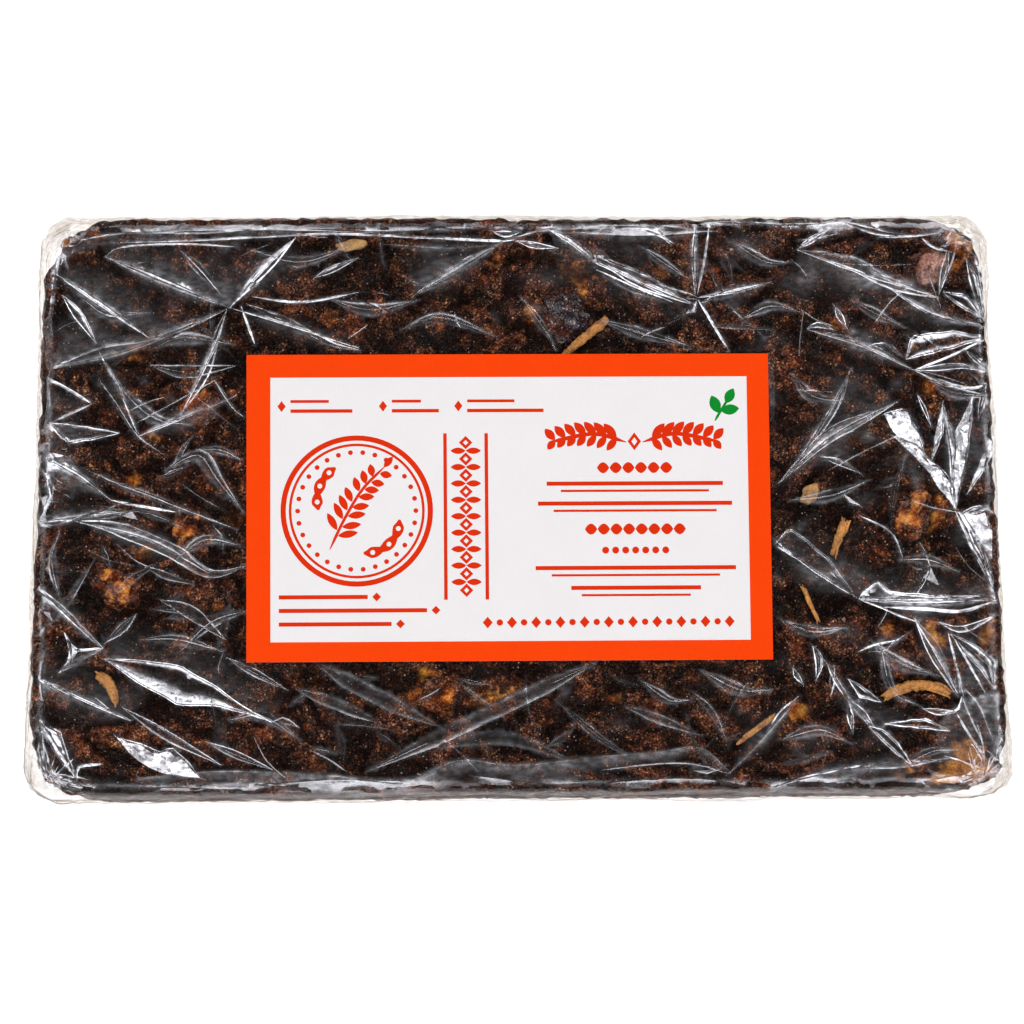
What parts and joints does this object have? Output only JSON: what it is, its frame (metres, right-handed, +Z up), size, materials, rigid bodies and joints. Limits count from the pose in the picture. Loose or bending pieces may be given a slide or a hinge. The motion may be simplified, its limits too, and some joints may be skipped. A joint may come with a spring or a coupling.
{
  "type": "pressed tamarind block",
  "caption": "Flat rectangular block of pressed tamarind pulp with seeds and fibres, wrapped in clear creased film, with a rectangular paper label on the front.",
  "frame": {"origin": "centre of the back, on the plane the block rests on", "axes": "+X along the long side, +Y across the block towards the top of the label, +Z up out of the label"},
  "size_m": [0.1672, 0.1, 0.0285],
  "materials": {
    "pulp": "moist, granular",
    "clear_film": "clear, creased",
    "label_paper": "smooth, printed",
    "dark_seed": "glossy",
    "amber_seed": "glossy",
    "fibre": "matte",
    "pod_shell": "matte"
  },
  "bodies": {
    "root": {"tamarind_block": "pulp", "film_wrap": "clear_film", "paper_label": "label_paper", "seed_top": "dark_seed", "seed_left_upper": "amber_seed", "seed_left_middle": "amber_seed", "seed_left_lower": "amber_seed", "seed_right_corner": "amber_seed", "seed_right_middle": "amber_seed", "seed_bottom": "amber_seed", "vein_fibre_right": "fibre", "vein_fibre_left": "fibre", "vein_fibre_top": "fibre", "vein_fibre_lower_right": "fibre", "vein_fibre_upper_right": "fibre", "vein_fibre_edge": "fibre", "shell_flake_right": "pod_shell", "shell_flake_top": "pod_shell"}
  },
  "joints": []
}
